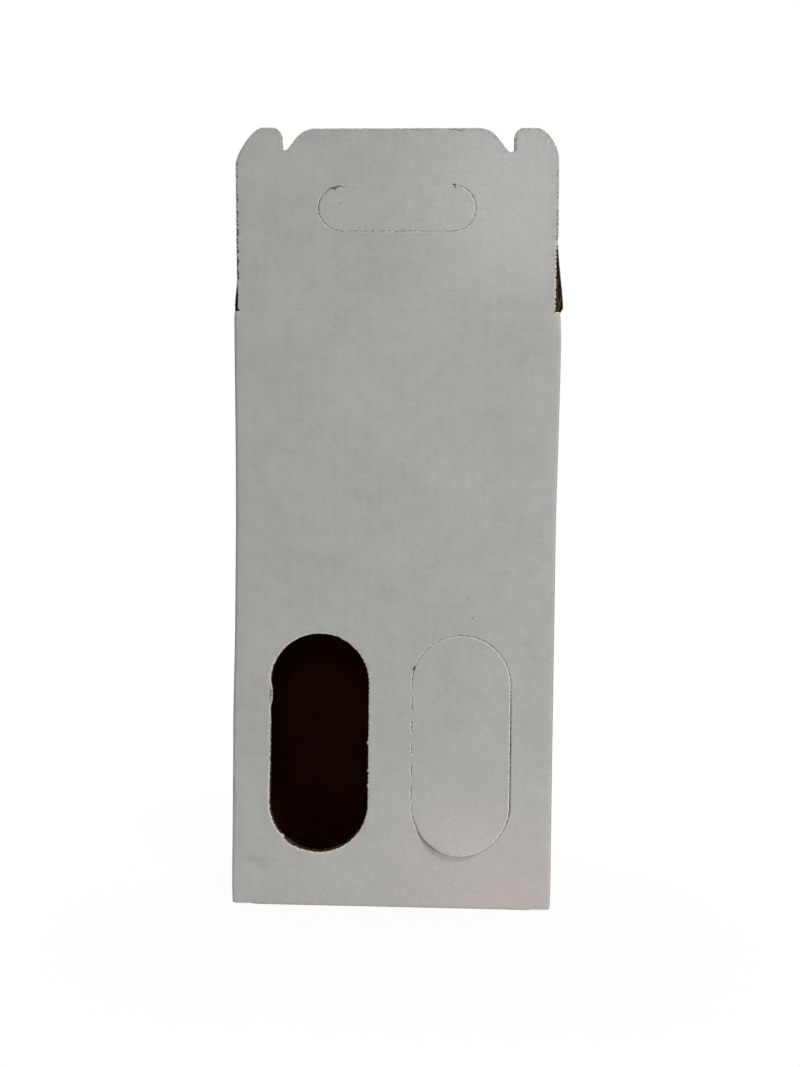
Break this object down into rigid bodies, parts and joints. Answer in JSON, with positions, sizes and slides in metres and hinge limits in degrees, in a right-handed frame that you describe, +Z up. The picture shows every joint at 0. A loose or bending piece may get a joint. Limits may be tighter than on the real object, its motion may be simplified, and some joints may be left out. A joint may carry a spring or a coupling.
{
  "type": "bottle shipping box",
  "caption": "Tall white corrugated bottle carrier with an open flap top, closed hand holes, lock ears and pill-shaped windows low in the front.",
  "frame": {"origin": "middle of the base, on the surface the box stands on", "axes": "+Z up, the front wall with the windows faces -Y, +X to the right seen from the front"},
  "size_m": [0.189, 0.1006, 0.4321],
  "materials": {
    "white_board": "matt, uncoated",
    "kraft_board": "matt, unbleached"
  },
  "bodies": {
    "carton": {"carton_body": "white_board", "bottle_divider": "kraft_board"},
    "window_panel": {"window_flap": "white_board"},
    "front_top": {"front_top_flap": "white_board"},
    "front_hand": {"front_hand_flap": "white_board"},
    "back_top": {"back_top_flap": "white_board"},
    "back_hand": {"back_hand_flap": "white_board"},
    "right_side": {"right_side_flap": "white_board"},
    "left_side": {"left_side_flap": "white_board"}
  },
  "joints": [
    {"name": "front_top_crease", "type": "hinge", "parent": "carton", "child": "front_top", "pos_m": [0, -0.046, 0.3326], "axis": [1, 0, 0], "range_deg": [-28, 107]},
    {"name": "back_top_crease", "type": "hinge", "parent": "carton", "child": "back_top", "pos_m": [0, 0.046, 0.3326], "axis": [-1, 0, 0], "range_deg": [-28, 107]},
    {"name": "right_side_crease", "type": "hinge", "parent": "carton", "child": "right_side", "pos_m": [0.0911, 0, 0.3326], "axis": [0, 1, 0], "range_deg": [0, 108]},
    {"name": "left_side_crease", "type": "hinge", "parent": "carton", "child": "left_side", "pos_m": [-0.0911, 0, 0.3326], "axis": [0, -1, 0], "range_deg": [0, 108]},
    {"name": "front_hand_fold", "type": "hinge", "parent": "front_top", "child": "front_hand", "pos_m": [0, -0.046, 0.40147], "axis": [1, 0, 0], "range_deg": [0, 55]},
    {"name": "back_hand_fold", "type": "hinge", "parent": "back_top", "child": "back_hand", "pos_m": [0, 0.046, 0.40147], "axis": [-1, 0, 0], "range_deg": [0, 55]},
    {"name": "window_fold", "type": "hinge", "parent": "carton", "child": "window_panel", "pos_m": [0.01095, -0.046, 0.0915], "axis": [0, 0, -1], "range_deg": [0, 110]}
  ]
}
